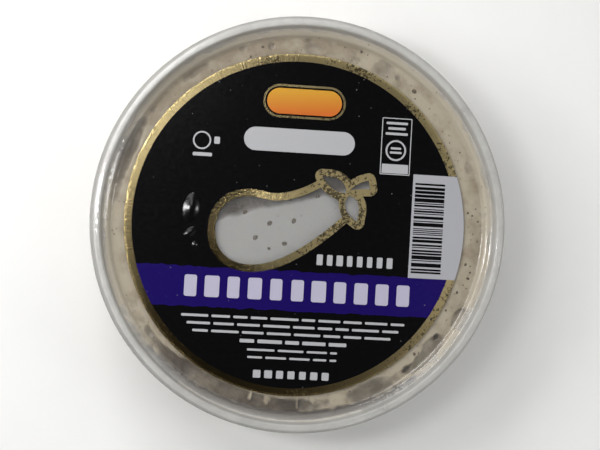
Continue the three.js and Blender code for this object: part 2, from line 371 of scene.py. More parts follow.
def clear_plastic(name, milk, crown_milk):
    """Moulded polypropylene: clear but milky, deeper in tone where it's seen edge on, with a waxy gloss."""
    material, node, place = new_material(name)
    flat = node("Mapping", {"Vector": place, "Scale": (1, 1, 0)})
    radius = node("VectorMath", [flat], operation="LENGTH")
    # The wall of the crown is thicker and milkier than the panel
    rim = node("MapRange", [radius, (PANEL_RADIUS + 0.4) * MM, (PANEL_RADIUS + 3.2) * MM])
    base_milk = node("MapRange", [rim, 0, 1, milk, crown_milk])
    drift = node("TexNoise", {"Vector": place, "Scale": 1 / (9 * MM), "Detail": 3})
    uneven = node("MapRange", [drift, 0.3, 0.7, 0.8, 1.2])
    cloud = node("Math", [base_milk, uneven], operation="MULTIPLY")
    facing = node("LayerWeight", {"Blend": 0.4}, out="Facing")
    edge = node("Math", [facing, 2], operation="POWER")
    share = node("Math", [edge, 0.35, cloud], operation="MULTIPLY_ADD", use_clamp=True)
    # The skirt is seen edge on from above, so it's the deepest in tone
    skirt = node("MapRange", [radius, (LID_RADIUS - 1.3) * MM, (LID_RADIUS - 0.1) * MM, 0, 0.6])
    dim = node("Math", [edge, skirt], operation="ADD", use_clamp=True)
    tone = node("Mix", {"Factor": dim, "A": linear(MILKY), "B": linear(MILKY_EDGE)}, data_type="RGBA")
    kept = {"Factor": dim, "A": (1, 1, 1), "B": linear(EDGE_CLEARNESS)}
    clearness = node("Mix", kept, data_type="RGBA")
    ripple = node("TexNoise", {"Vector": place, "Scale": 1 / (1.5 * MM)})
    ripple_strength = node("Math", [rim, 0.22, 0.02], operation="MULTIPLY_ADD")
    bump = node("Bump", {"Height": ripple, "Strength": ripple_strength, "Distance": 0.35 * MM})
    matt = {"Base Color": tone, "Roughness": 0.5, "Specular IOR Level": 0, "Normal": bump}
    lit = node("BsdfPrincipled", matt)
    glow = node("BsdfTranslucent", {"Color": tone, "Normal": bump})
    milky = node("MixShader", [0.4, lit, glow])
    through = node("BsdfTransparent", {"Color": clearness})
    body = node("MixShader", [share, through, milky])
    gloss = node("BsdfGlossy", {"Roughness": 0.08, "Normal": bump})
    # A thin sheet mirrors alike from both sides: 4 % face on, and all of it at a glancing angle
    slant = node("LayerWeight", {"Blend": 0.5, "Normal": bump}, out="Facing")
    steep = node("Math", [slant, 5], operation="POWER")
    mirror = node("Math", [steep, 0.96, 0.04], operation="MULTIPLY_ADD")
    node("OutputMaterial", [node("MixShader", [mirror, body, gloss])])
    return material


def dip_paste():
    """Aubergine dip: a wet, creamy paste, paler where it's pressed on the plastic, darker under air gaps
    partly as painted shade, with fine bits.
    """
    material, node, place = new_material("creamy_aubergine_paste")
    smear = node("TexNoise", {"Vector": place, "Scale": 1 / (6 * MM), "Detail": 4, "Roughness": 0.6})
    lean = node("VectorMath", [place, (-0.45, 0.9, 0)], operation="DOT_PRODUCT")
    drier = node("MapRange", [lean, 28 * MM, 50 * MM, 0, 0.2])
    patchy = node("Math", [smear, drier], operation="ADD")
    flat = node("Mapping", {"Vector": place, "Scale": (1, 1, 0)})
    radius = node("VectorMath", [flat], operation="LENGTH")
    wiped = node("MapRange", [radius, 52.4 * MM, 53.4 * MM, 0.9, 0])
    share = node("MapRange", [patchy, 0.45, 0.7, 0, wiped])
    stained = node("Mix", {"Factor": share, "A": colours().dip, "B": colours().dip_smear}, data_type="RGBA")
    outer = node("MapRange", [radius, 34 * MM, 46 * MM])
    wetted = node("Mix", {"Factor": outer, "A": colours().dip_fresh, "B": stained}, data_type="RGBA")
    # Under an air gap the dip turns darker: partly the look of dip that doesn't wet the lid, partly painted
    # shade of the gap under the lid and label
    gap = node("Attribute", out="Fac", attribute_name="gap_mm")
    deep = node("MapRange", [gap, 0, 1.5])
    body = node("Mix", {"Factor": deep, "A": wetted, "B": colours().dip_unwetted_and_shaded}, data_type="RGBA")
    bits = node("TexVoronoi", {"Vector": place, "Scale": 1 / (2.6 * MM)})
    speck = node("MapRange", [bits, 0.06, 0.13, 0.5, 0])
    specked = node("Mix", {"Factor": speck, "A": body, "B": colours().seed}, data_type="RGBA")
    grain = node("TexNoise", {"Vector": place, "Scale": 1 / (0.7 * MM), "Detail": 3})
    bump = node("Bump", {"Height": grain, "Strength": 0.35, "Distance": 0.2 * MM})
    paste = {
        "Base Color": specked,
        "Roughness": 0.42,
        "IOR": 1.4,
        "Subsurface Weight": 0.7,
        "Subsurface Radius": (1.0, 0.9, 0.7),
        "Subsurface Scale": 0.8 * MM,
        "Normal": bump,
    }
    node("OutputMaterial", [node("BsdfPrincipled", paste)])
    return material


def seed_skin():
    """Aubergine seed and charred skin: matt dark brown, mottled."""
    material, node, place = new_material("aubergine_seed")
    mottle = node("TexNoise", {"Vector": place, "Scale": 1 / (0.5 * MM), "Detail": 3})
    body = node("Mix", {"Factor": mottle, "A": colours().seed, "B": linear(SEED_MOTTLE)}, data_type="RGBA")
    node("OutputMaterial", [node("BsdfPrincipled", {"Base Color": body, "Roughness": 0.5, "IOR": 1.4})])
    return material


def printed_film(name, ink, roughness=INK_ROUGHNESS, dust=0.0):
    """Printed polypropylene film: an even ink under a clear varnish, with dust and fine rubs."""
    material, node, place = new_material(name)
    dots = node("TexVoronoi", {"Vector": place, "Scale": 1 / (2.2 * MM)})
    near = node("MapRange", [dots, 0.05, 0.085, 1, 0])
    lone = node("TexNoise", {"Vector": place, "Scale": 1 / (7 * MM)})
    where = node("MapRange", [lone, 0.5, 0.6, 0, dust])
    share = node("Math", [near, where], operation="MULTIPLY")
    body = node("Mix", {"Factor": share, "A": ink, "B": linear(DUST_COLOUR)}, data_type="RGBA")
    rub = node("TexNoise", {"Vector": place, "Scale": 1 / (1.2 * MM), "Detail": 5})
    rough = node("MapRange", [rub, 0.3, 0.7, roughness - 0.02, roughness + 0.03])
    wave = node("TexNoise", {"Vector": place, "Scale": 1 / (8 * MM)})
    bump = node("Bump", {"Height": wave, "Strength": 0.1, "Distance": 0.2 * MM})
    varnish = {"Base Color": body, "Roughness": rough, "IOR": VARNISH_IOR, "Normal": bump}
    node("OutputMaterial", [node("BsdfPrincipled", varnish)])
    return material


def amber_ink():
    """Printed amber: a screen of ink that runs from yellow above to orange below."""
    material, node, place = new_material("amber_plaque_ink")
    up = node("SeparateXYZ", [place], out="Y")
    share = node("MapRange", [up, 31.5 * MM, 37.5 * MM])
    blend = {"Factor": share, "A": colours().amber_ink, "B": colours().amber_light}
    body = node("Mix", blend, data_type="RGBA")
    rub = node("TexNoise", {"Vector": place, "Scale": 1 / (1.2 * MM), "Detail": 5})
    bump = node("Bump", {"Height": rub, "Strength": 0.05, "Distance": 0.05 * MM})
    varnish = {"Base Color": body, "Roughness": INK_ROUGHNESS, "IOR": VARNISH_IOR, "Normal": bump}
    node("OutputMaterial", [node("BsdfPrincipled", varnish)])
    return material


def gold_foil(name, centre, roll=0.0, roughness=(0.2, 0.3), frayed=0.0, crinkle=0.0, painted_shade=NO_PAINTED_SHADE):
    """Hot-stamped aluminium foil, lacquered gold: a soft mirror with fine creases and worn flecks.

    Its edge is rolled down by an angle away from the centre, and frayed where the label was cut.
    It's rubbed matt, and worn more, from left to right. On one side the gold is painted darker and browner,
    a painted reflection of a dark room, given as a way and the two distances along it, in millimetres,
    between which this painted shade fades out.
    """
    material, node, place = new_material(name)
    across = node("SeparateXYZ", [place], out="X")
    matt = node("MapRange", [across, -22 * MM, 8 * MM, *roughness])
    flecks = node("TexNoise", {"Vector": place, "Scale": 1 / (0.9 * MM), "Detail": 4, "Roughness": 0.7})
    patch = node("TexNoise", {"Vector": place, "Scale": 1 / (14 * MM)})
    wear = node("Math", [matt, 2.4, patch], operation="MULTIPLY_ADD")
    worn_from = node("MapRange", [wear, 1, 1.35, 0.75, 0.46])
    over = node("Math", [flecks, worn_from], operation="SUBTRACT")
    worn = node("MapRange", [over, 0, 0.05])
    # Painted shade: the gold is mixed towards a darker brown along a way, standing in for a dark room
    # mirrored in the foil
    way, shade_full_at, shade_gone_at = painted_shade
    along = node("VectorMath", [place, way], operation="DOT_PRODUCT")
    clear = node("MapRange", [along, shade_full_at * MM, shade_gone_at * MM])
    lacquer = node("Mix", {"Factor": clear, "A": colours().foil_painted_shade, "B": colours().foil}, data_type="RGBA")
    body = node("Mix", {"Factor": worn, "A": lacquer, "B": colours().foil_worn}, data_type="RGBA")
    metal = node("MapRange", [worn, 0, 1, 1, 0.2])
    around = node("Mapping", {"Vector": place, "Location": -centre, "Scale": (1, 1, 0)})
    radius = node("VectorMath", [around], operation="LENGTH")
    fall = node("Math", [radius, -math.tan(roll)], operation="MULTIPLY")
    # Real creases and facets are finer; these are as coarse as they need to be to show
    polar = node("TexGradient", {"Vector": around}, out="Fac", gradient_type="RADIAL")
    turns = node("Math", [polar, 700], operation="MULTIPLY")
    creases = node("TexNoise", {"W": turns, "Scale": 1, "Detail": 3}, noise_dimensions="1D")
    facets = node("TexNoise", {"Vector": place, "Scale": 1 / (0.45 * MM)})
    fray = node("TexNoise", {"Vector": place, "Scale": 1 / (0.5 * MM)})
    cut = node("MapRange", [radius, (LABEL_RADIUS - 0.9) * MM, (LABEL_RADIUS - 0.3) * MM, 0, frayed])
    relief = node("Bump", {"Height": fall, "Strength": 1, "Distance": 1})
    for height, strength, depth in (
        (creases, 0.25 + 0.1 * frayed, 0.1),
        (facets, crinkle, 0.1),
        (fray, cut, 0.3),
    ):
        bump = {"Height": height, "Strength": strength, "Distance": depth * MM, "Normal": relief}
        relief = node("Bump", bump)
    leaf = {"Base Color": body, "Metallic": metal, "Roughness": matt, "Normal": relief}
    node("OutputMaterial", [node("BsdfPrincipled", leaf)])
    return material


# ---------- Lid and tub ----------


class DIPTUB_OT_lid(bpy.types.Operator):
    """Press-on lid: one thin skin with a panel, a stacking ledge, a plug, a crown and a skirt"""

    bl_idname = "diptub.lid"
    bl_label = "Lid"

    def execute(self, context):
        lid = thin_shell(LID_CORNERS, context.scene.dip_tub_sizes.lid_skin)
        finish_piece(lid, "lid_shell", clear_plastic("lid_polypropylene", 0.04, 0.36), "lid")
        return {"FINISHED"}


class DIPTUB_OT_tub(bpy.types.Operator):
    """Tub: thin drafted wall on a foot ring, with a stacking shoulder and a turned-over rim"""

    bl_idname = "diptub.tub"
    bl_label = "Tub"

    def execute(self, context):
        tub = thin_shell(TUB_CORNERS, context.scene.dip_tub_sizes.tub_skin)
        finish_piece(tub, "tub_shell", clear_plastic("tub_polypropylene", 0.1, 0.14), "tub")
        return {"FINISHED"}


# ---------- Dip ----------

WALL_BITE = 0.04  # how far the dip reaches into the plastic that it touches
SQUEEZE_HEIGHT = 31.9
SAG = 1.0  # how far the dip sinks from the lid under the middle of the label
PRESS = 0.3  # how hard the lid presses on it at the rim
LUMP_HEIGHT, LUMP_SIZE = 0.45, 5.5
DIP_SIDES = 640
RING_STEP = 0.35  # between the rings of vertices at the rim

# Air pockets under the lid's panel, each (angle in degrees, radius, half length round the rim,
# half width, depth, softness of the edge)
AIR_POCKETS = [
    (157.5, 52.2, 13.5, 2.4, 1.4, 0.5),
    (-113, 51.2, 32, 3.0, 1.5, 0.3),
    (-98, 54.4, 50, 2.3, 2.5, 0.5),
    (-66, 51.4, 9, 3.4, 1.2, 0.5),
    (-46, 51.5, 7.9, 2.7, 1.1, 0.12),
    (-39, 50.7, 1.2, 1.0, 1.9, 0.6),
    (-53, 51.3, 1.9, 0.9, 1.8, 0.7),
    (-30.2, 53.4, 3.6, 2.3, 0.8, 0.12),
    (18.5, 51.3, 1.8, 1.15, 0.55, 0.15),
    (13, 49.6, 2.6, 1.2, 0.35, 0.8),
    (56, 50.3, 1.3, 0.9, 1.0, 0.6),
    (60.5, 50.2, 4.2, 2.6, 0.5, 0.3),
    (79, 49.9, 9.4, 2.7, 0.35, 0.2),
    (87, 51.9, 2.5, 0.9, 0.6, 0.7),
    (99, 50.8, 0.9, 1.3, 0.7, 0.6),
    (108, 51.9, 1.2, 1.0, 0.7, 0.6),
    (124, 51.8, 5.6, 1.3, 0.6, 0.7),
    (142, 52.0, 1.0, 0.8, 0.8, 0.5),
]

# Where the dip still touches the lid within a pocket: (angle, radius, half length, half width)
TOUCHES = [
    (-49.5, 48.6, 4.8, 1.9),
    (-79.5, 50.0, 0.45, 2.3),
    (-85.5, 49.0, 0.5, 1.6),
    (-90.5, 49.6, 0.35, 2.2),
    (-96.0, 48.3, 2.3, 0.9),
    (-100.5, 49.5, 0.8, 2.1),
    (-106.0, 49.2, 0.4, 1.8),
    (-141.0, 49.4, 8.0, 1.2),
]

# The hollow's edge across the aubergine window: its height in the middle, its slope and its bend
HOLLOW_EDGE = (5.1, 0.27, -0.0015)
HOLLOW_STEP, HOLLOW_FALL = 0.6, 1.7  # how deep it is just past its edge, and further in besides

# The lid's underside above the dip, from the middle to the crown
DIP_ROOF = offset(rounded([(0, PANEL_TOP, 0), *LID_CORNERS[1:6]]), LID_SKIN - WALL_BITE)


def smooth_step(value, low, high):
    t = min(max((value - low) / (high - low), 0), 1)
    return t * t * (3 - 2 * t)


def roof_at(radius):
    """The highest that the dip may stand at this radius: just inside the lid's skin."""
    for low, high in zip(DIP_ROOF, DIP_ROOF[1:]):
        if low.x <= radius <= high.x and high.x > low.x:
            return low.y + (high.y - low.y) * (radius - low.x) / (high.x - low.x)
    return DIP_ROOF[-1].y


def reach_in(x, y, degrees, radius, half_length, half_width):
    """How far out a point is in an oval that follows the rim: 0 in its middle, 1 on its edge."""
    turn = math.atan2(y, x) - math.radians(degrees)
    along = math.remainder(turn, math.tau) * radius
    return math.hypot(along / half_length, (math.hypot(x, y) - radius) / half_width)


def on_label(x, y):
    """A place in the tub's frame, from the middle of the label and along it."""
    across = x - LABEL_SHIFT
    return across * LABEL_COS + y * LABEL_SIN, y * LABEL_COS - across * LABEL_SIN


def off_label(x, y):
    """A place in the label's frame, in the tub's."""
    return x * LABEL_COS - y * LABEL_SIN + LABEL_SHIFT, x * LABEL_SIN + y * LABEL_COS


def hollow_under_label(x, y):
    """The dip sinks away above a slanting line across the aubergine window."""
    across, up = on_label(x, y)
    middle, slope, bend = HOLLOW_EDGE
    line = middle + slope * across + bend * across**2
    over = up - line + 0.3 * noise.noise(Vector((x, y, 5.0)) / 4)
    inside = 1 - smooth_step(math.hypot(x, y), 38, 44)
    return inside * (HOLLOW_STEP * smooth_step(over, -0.3, 0.5) + HOLLOW_FALL * smooth_step(over, 0.2, 3.4))


def pocket_depth(x, y):
    """How deep the air pockets are at a point, less where the dip touches the lid inside them."""
    wander = noise.noise(Vector((x, y, 3.0)) / 1.8)
    depth = 0
    if math.hypot(x, y) > LABEL_RADIUS - 4:
        for *place, deepest, soft in AIR_POCKETS:
            reach = reach_in(x, y, *place) + 0.35 * soft * wander
            depth = max(depth, deepest * (1 - smooth_step(reach, 1 - soft, 1 + 0.3 * soft)))
        for place in TOUCHES:
            depth *= smooth_step(reach_in(x, y, *place) + 0.3 * wander, 0.8, 1.15)
    return max(depth, hollow_under_label(x, y))


def dip_level(x, y):
    """Height of the dip's surface, and how far an air pocket keeps it down."""
    radius = math.hypot(x, y)
    roof = roof_at(radius)
    lumps = LUMP_HEIGHT * noise.fractal(Vector((x, y, 9.0)) / LUMP_SIZE, 0.7, 2.2, 4)
    pressed = PRESS * smooth_step(radius, 36, 46)
    ring = unit(math.atan2(y, x)).to_3d() * 6
    squeezed = SQUEEZE_HEIGHT + 0.4 * noise.noise(ring) + 0.2 * noise.noise(ring * 3)
    wanted = min(roof + pressed + lumps, squeezed) - pocket_depth(x, y)
    ceiling = roof - SAG * (1 - smooth_step(radius, 36, 44))
    level = min(wanted, ceiling)
    return level, ceiling - level


class DIPTUB_OT_dip(bpy.types.Operator):
    """Dip: fills the tub just into its wall and lies against the lid, with air pockets between"""

    bl_idname = "diptub.dip"
    bl_label = "Dip"

    def execute(self, context):
        wall = offset(rounded(TUB_CORNERS[:8]), WALL_BITE)
        side = [(point.x, point.y) for point in wall if point.y < SQUEEZE_HEIGHT - 0.8]
        edge = side[-1][0]
        rings = []
        radius = edge - RING_STEP
        while radius > 1:
            rings.append((radius, HEIGHT))
            radius -= RING_STEP if radius > LABEL_RADIUS - 3 else 2.5 if radius > 25 else 0.5
        dip = turned_sheet([*side, (edge, HEIGHT), *rings], DIP_SIDES)
        bpy.ops.mesh.merge(type="CENTER")
        face_out()
        edit(False)
        settle()
        self.raise_surface(dip)
        finish_piece(dip, "dip_body", dip_paste(), "baba_ganoush", smooth=60)
        return {"FINISHED"}

    def raise_surface(self, dip):
        """Lowers the top from the crown's height to the dip's own level and notes the gap above it."""
        gaps = []
        for vertex in dip.data.vertices:
            gap = 0.0
            if vertex.co.z >= (HEIGHT - 0.01) * MM:
                level, gap = dip_level(vertex.co.x / MM, vertex.co.y / MM)
                vertex.co.z = level * MM
            gaps.append(gap)
        attribute = dip.data.attributes.new("gap_mm", "FLOAT", "POINT")
        attribute.data.foreach_set("value", gaps)


FINE_SEEDS = 44
SEED_SHAPE = (1, 0.78, 0.36)  # length, width and thickness

# Larger seeds and bits of skin round the label: (angle in degrees, radius, size)
RIM_BITS = [
    (101.5, 51.0, 0.9),
    (98, 51.3, 0.6),
    (106, 49.1, 0.9),
    (70, 52.1, 1),
    (49, 50.2, 1.6),
    (3, 49.8, 0.7),
    (1, 51.4, 0.7),
    (4, 48.6, 0.8),
    (-3, 50.0, 0.5),
    (-13.3, 49.1, 1),
    (-15.5, 50.9, 0.7),
    (-17.5, 50.8, 1.1),
    (-20, 50.1, 0.5),
    (-23, 49.2, 1),
    (-30, 48.6, 0.8),
    (-48, 49.3, 1.1),
]

# Seeds seen in the window, from the middle of the label: (across, up, size)
WINDOW_SEEDS = [
    (-14.2, 2.6, 1.8),
    (-7.2, 0.1, 1.7),
    (-0.4, 1.1, 1.7),
    (-11.0, -4.1, 1.7),
    (-2.7, -5.4, 1.6),
    (-7.0, -7.0, 1.0),
    (6.1, 8.2, 1.6),
    (-16.6, 5.3, 1.4),
    (-1.7, 6.9, 1.4),
]


class DIPTUB_OT_seeds(bpy.types.Operator):
    """Seeds: dark bits that show through the lid round the label and in its windows"""

    bl_idname = "diptub.seeds"
    bl_label = "Seeds"

    def execute(self, context):
        draw = random.Random(5)
        seeds = empty_piece()
        for x, y, size in self.places(draw):
            level, _ = dip_level(x, y)
            turn = draw.uniform(0, math.pi)
            at = Vector((x, y, level - 0.04 * size)) * MM
            bpy.ops.mesh.primitive_ico_sphere_add(subdivisions=2, radius=size / 2 * MM, location=at)
            bpy.ops.transform.resize(value=SEED_SHAPE, center_override=at)
            bpy.ops.transform.rotate(value=turn, orient_axis="Z", center_override=at)
        edit(False)
        finish_piece(seeds, "dip_seeds", seed_skin(), smooth=80)
        return {"FINISHED"}

    def places(self, draw):
        """Each seed's place and size in millimetres: fine ones in a loose ring, then the larger ones."""
        for i in range(FINE_SEEDS):
            angle = (i + draw.random()) / FINE_SEEDS * math.tau
            radius = LABEL_RADIUS + 0.4 + draw.random() ** 1.3 * 3.6
            yield *unit(angle) * radius, draw.uniform(0.3, 0.6)
        for degrees, radius, size in RIM_BITS:
            yield *unit(math.radians(degrees)) * radius, size
        for across, up, size in WINDOW_SEEDS:
            yield *off_label(across, up), size


# ---------- Label ----------


def bezier(start, one, two, end, steps=12):
    """Points of one cubic curve, without its last."""
    a, b, c, d = (Vector(point) for point in (start, one, two, end))
    for t in (i / steps for i in range(steps)):
        yield a * (1 - t) ** 3 + b * (3 * t * (1 - t) ** 2) + c * (3 * t * t * (1 - t)) + d * t**3


def joined_curves(start, *curves):
    """A closed outline of cubic curves, each (one, two, end); an end alone makes a straight side."""
    outline = []
    for *handles, end in curves:
        outline += bezier(start, *handles, end) if handles else [Vector(start)]
        start = end
    return outline


def windows():
    """The clear windows: an aubergine, fat end left, then its two leaves and its stalk."""
    aubergine = joined_curves(
        (6.5, 10.95),
        ((2.2, 8.2), (-3.2, 6.1), (-8, 6.6)),
        ((-10.4, 7.0), (-11.6, 7.4), (-13.8, 7.3)),
        ((-19.8, 7.0), (-22.7, 2.6), (-22.6, -2.4)),
        ((-22.5, -8.2), (-18.6, -11.9), (-12.2, -11.75)),
        ((-4.4, -11.6), (4.6, -5.2), (13.0, 2.95)),
        ((12.2, 4.3), (12.1, 6.2), (11.6, 7.6)),
        ((10.0, 8.5), (8.0, 9.2), (6.5, 10.95)),
    )
    upper_leaf = joined_curves(
        (6.8, 14.15),
        ((9.6, 14.2), (13.4, 14.3), (13.9, 9.85)),
        ((11.5, 9.6), (9.2, 10.4), (6.8, 14.15)),
    )
    lower_leaf = joined_curves(
        (14.75, 9.2),
        ((12.6, 7.3), (13.2, 4.2), (17.4, 1.7)),
        ((17.2, 3.2), (19.4, 7.8), (14.75, 9.2)),
    )
    stalk = joined_curves(
        (14.7, 10.5),
        ((15.9, 11.9), (17.6, 13.1), (20.0, 13.7)),
        ((20.55, 11.3),),
        ((18.6, 11.2), (16.4, 11.0), (14.7, 10.5)),
    )
    return [aubergine, upper_leaf, lower_leaf, stalk]


def area_of(outline):
    return sum(a.x * b.y - b.x * a.y for a, b in zip(outline, outline[1:] + outline[:1])) / 2


CORNER_STEP = 0.12  # radians between the points of a round corner


def grown(outline, distance):
    """The outline moved out by a distance, with round corners."""
    if area_of(outline) < 0:
        outline = outline[::-1]
    moved = []
    for before, at, after in zip(outline[-1:] + outline[:-1], outline, outline[1:] + outline[:1]):
        first = (at - before).normalized()
        second = (after - at).normalized()
        start = math.atan2(-first.x, first.y)
        turn = math.atan2(first.x * second.y - first.y * second.x, first.dot(second))
        steps = max(1, round(turn / CORNER_STEP)) if turn > 0 else 0
        for i in range(steps + 1):
            angle = start + turn * (i / steps if steps else 0.5)
            moved.append(at + unit(angle) * distance)
    return moved


def circle(radius, sides=256, centre=(0, 0)):
    return [Vector(centre) + unit(i / sides * math.tau) * radius for i in range(sides)]


def slab(outlines, foot=FILM_TOP, top=FILM_TOP + INK):
    """A flat piece between two heights; an outline inside another is a hole in it."""
    deselect()
    flat = bpy.data.curves.new("flat", "CURVE")
    flat.dimensions = "2D"
    flat.fill_mode = "BOTH"
    flat.extrude = (top - foot) / 2 * MM
    for outline in outlines:
        spline = flat.splines.new("POLY")
        spline.points.add(len(outline) - 1)
        spline.use_cyclic_u = True
        for point, at in zip(spline.points, outline):
            point.co = (at.x * MM, at.y * MM, 0, 1)
    piece = bpy.data.objects.new("flat", flat)
    bpy.context.collection.objects.link(piece)
    bpy.context.view_layer.objects.active = piece
    piece.select_set(True)
    bpy.ops.object.convert(target="MESH")
    piece = bpy.context.object
    edit()
    bpy.ops.mesh.select_all(action="SELECT")
    bpy.ops.mesh.remove_doubles(threshold=0.0005 * MM)
    face_out()
    bpy.ops.transform.translate(value=(0, 0, (top + foot) / 2 * MM))
    edit(False)
    return piece


def combine(piece, other, operation):
    """Joins another piece to this one, or cuts it out, and removes the other."""
    modify(piece, "BOOLEAN", object=other, operation=operation, solver="EXACT")
    bpy.data.objects.remove(other)


def lay_on_lid(piece, name, material):
    """Turns and moves a piece made round the origin to where the label was put on."""
    piece.rotation_euler = (0, 0, LABEL_TURN)
    piece.location = (LABEL_SHIFT * MM, 0, 0)
    return finish_piece(piece, name, material, smooth=30)


class DIPTUB_OT_film(bpy.types.Operator):
    """Label film: a black disc with windows cut in the form of an aubergine with its leaves"""

    bl_idname = "diptub.film"
    bl_label = "Label film"

    def execute(self, context):
        black = colours().film
        film = slab([circle(LABEL_RADIUS), *windows()], FILM_FOOT, FILM_TOP)
        lay_on_lid(film, "label_film", printed_film("black_label_film", black, FILM_ROUGHNESS, DUST))
        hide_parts("label")
        panes = slab(windows(), FILM_FOOT, PANES_TOP)
        lay_on_lid(panes, "window_film", clear_plastic("clear_label_film", 0.03, 0.03))
        return {"FINISHED"}


# Creases in the film: (across, up, half width, half length, turn in degrees)
CREASES = [
    (-29.4, 3.2, 2.6, 4.6, -8),
    (-29.4, -3.6, 1.3, 2.4, -50),
    (-28.0, -7.0, 0.8, 1.1, 0),
]
CREASE_RISE = 0.16  # of the half width
CREASE_RINGS = 10
CREASE_BITE = 0.02  # how far a crease's foot reaches into the film


class DIPTUB_OT_creases(bpy.types.Operator):
    """Creases: low blisters where air was caught under the film"""

    bl_idname = "diptub.creases"
    bl_label = "Creases"

    def execute(self, context):
        creases = empty_piece()
        bpy.ops.mesh.select_mode(type="FACE")
        for crease in CREASES:
            self.add_crease(*crease)
        edit(False)
        black = colours().film
        lay_on_lid(creases, "film_creases", printed_film("black_creased_film", black, FILM_ROUGHNESS, DUST))
        return {"FINISHED"}

    def add_crease(self, x, y, half_width, half_length, turn):
        """A disc, raised ring by ring into a bell, then drawn out to its length and turned."""
        at = Vector((x, y, FILM_TOP - CREASE_BITE)) * MM
        bpy.ops.mesh.primitive_circle_add(vertices=48, radius=half_width * MM, fill_type="NGON", location=at)
        for ring in range(CREASE_RINGS - 1, 0, -1):
            bpy.ops.mesh.inset(thickness=half_width / CREASE_RINGS * MM)
            before, after = ((1 - (edge / CREASE_RINGS) ** 2) ** 2 for edge in (ring + 1, ring))
            foot = CREASE_BITE if ring == CREASE_RINGS - 1 else 0
            rise = CREASE_RISE * half_width * (after - before) + foot
            bpy.ops.transform.translate(value=(0, 0, rise * MM))
        bpy.ops.mesh.select_linked()
        bpy.ops.transform.resize(value=(1, half_length / half_width, 1), center_override=at)
        bpy.ops.transform.rotate(value=-math.radians(turn), orient_axis="Z", center_override=at)
        bpy.ops.mesh.select_all(action="DESELECT")


class DIPTUB_OT_foil(bpy.types.Operator):
    """Gold foil: the ring round the label and the border of the windows"""

    bl_idname = "diptub.foil"
    bl_label = "Gold foil"

    def execute(self, context):
        ring = slab([circle(LABEL_RADIUS - 0.02), circle(FOIL_INNER_RADIUS)], top=FOIL_TOP)
        centre = Vector((LABEL_SHIFT * MM, 0, 0))
        # Painted shade on the ring: darkest towards the bottom and the lower left
        painted_shade = ((0.45, 1, 0), -45, -3)
        lay_on_lid(ring, "foil_ring", gold_foil("gold_foil_ring", centre, FOIL_ROLL, frayed=0.6, painted_shade=painted_shade))
        body, *leaves = windows()
        border = slab([grown(body, FOIL_BORDER)], top=FOIL_TOP)
        for leaf in leaves:
            combine(border, slab([grown(leaf, LEAF_BORDER)], top=FOIL_TOP), "UNION")
        combine(border, slab(windows(), FILM_TOP - 1, FILM_TOP + 1), "DIFFERENCE")
        middle = Vector((BORDER_MIDDLE * MM, 0, 0))
        # Painted shade on the border: darkest towards the lower left
        painted_shade = ((0.8, 0.6, 0), -23, -9)
        finish = gold_foil("gold_foil_border", middle, BORDER_ROLL, (0.12, 0.36), crinkle=0.5, painted_shade=painted_shade)
        lay_on_lid(border, "foil_border", finish)
        return {"FINISHED"}


def band_outline():
    """The band: brushed, uneven long edges, and ends that follow the foil ring."""
    reach = FOIL_INNER_RADIUS + 0.1

    def edge(base, seed, count=150):
        half = math.sqrt(reach**2 - base**2)
        for i in range(count + 1):
            x = -half + 2 * half * i / count
            fade = min(1, (half - abs(x)) / 2)
            wave = BRUSH_HEIGHT * noise.fractal(Vector((x / BRUSH_LENGTH, seed, 0)), 0.8, 2.1, 3)
            yield Vector((x, base + fade * wave))

    def arc(start, end, count=12):
        first, last = math.atan2(start.y, start.x), math.atan2(end.y, end.x)
        if last > first:
            last -= math.tau
        return [unit(first + (last - first) * i / count) * reach for i in range(1, count)]

    top = list(edge(BAND_TOP, 1.7))
    foot = list(edge(BAND_FOOT, 6.2))[::-1]
    return [*top, *arc(top[-1], foot[0]), *foot, *arc(foot[-1], top[0])]


class DIPTUB_OT_band(bpy.types.Operator):
    """Band: a field of deep violet ink across the label"""

    bl_idname = "diptub.band"
    bl_label = "Band"

    def execute(self, context):
        violet = printed_film("violet_ink", colours().band, 0.16, DUST)
        lay_on_lid(slab([band_outline()]), "violet_band", violet)
        return {"FINISHED"}


def bars(shapes, rounding=0, foot=FILM_TOP):
    """Bars of ink, each (x, y, width, height): planes set out one by one, rounded, then raised together."""
    piece = empty_piece()
    for x, y, width, height in shapes:
        at = (x * MM, y * MM, foot * MM)
        bpy.ops.mesh.primitive_plane_add(size=MM, location=at)
        bpy.ops.transform.resize(value=(width, height, 1), center_override=at)
    bpy.ops.mesh.select_all(action="SELECT")
    if rounding:
        bpy.ops.mesh.bevel(offset=rounding * MM, segments=4, affect="VERTICES")
        bpy.ops.mesh.select_all(action="SELECT")
    rise = {"value": (0, 0, INK * MM)}
    bpy.ops.mesh.extrude_region_move(TRANSFORM_OT_translate=rise)
    face_out()
    edit(False)
    return piece


def pill(x, y, width, height, rounding=None):
    """The outline of a bar with round ends, or with corners of another rounding."""
    radius = height / 2 if rounding is None else rounding
    outline = []
    for corner, (right, up) in enumerate([(1, 1), (-1, 1), (-1, -1), (1, -1)]):
        middle = Vector((x + right * (width / 2 - radius), y + up * (height / 2 - radius)))
        outline += [middle + unit((corner + i / 8) * math.pi / 2) * radius for i in range(9)]
    return outline


